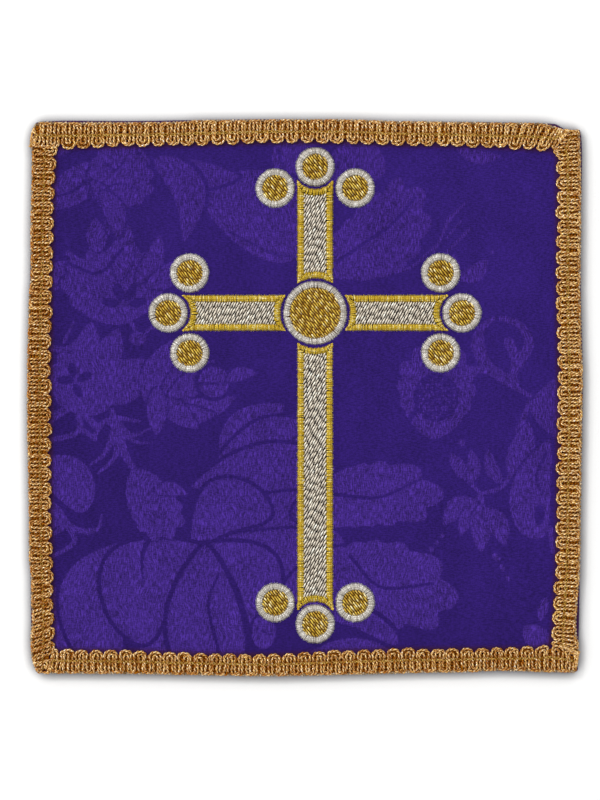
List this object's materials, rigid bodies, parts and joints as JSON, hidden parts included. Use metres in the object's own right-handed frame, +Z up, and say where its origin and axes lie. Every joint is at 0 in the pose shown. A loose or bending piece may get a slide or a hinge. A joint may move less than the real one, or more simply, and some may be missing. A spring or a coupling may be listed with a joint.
{
  "type": "chalice pall",
  "caption": "Stiff square purple damask pall that lies flat to cover a chalice, its edge turned under, with scalloped gold gimp braid sewn round the face and a plain budded cross embroidered in gold and silver.",
  "frame": {"origin": "middle of the bounding box, on the flat underside that rests on a surface", "axes": "+Z up, out of the embroidered face; +Y towards the top of the cross; +X to the right as the face is looked at"},
  "size_m": [0.1614, 0.1616, 0.0037],
  "materials": {
    "damask": "purple damask, satin figure on a duller ground",
    "gold_braid": "gold metallic gimp braid",
    "gold_thread": "gold embroidery thread, satin and open filling stitches",
    "silver_thread": "silver embroidery thread, satin and open filling stitches"
  },
  "bodies": {
    "root": {"damask_panel": "damask", "braid_top": "gold_braid", "braid_right": "gold_braid", "braid_bottom": "gold_braid", "braid_left": "gold_braid"}
  },
  "joints": []
}
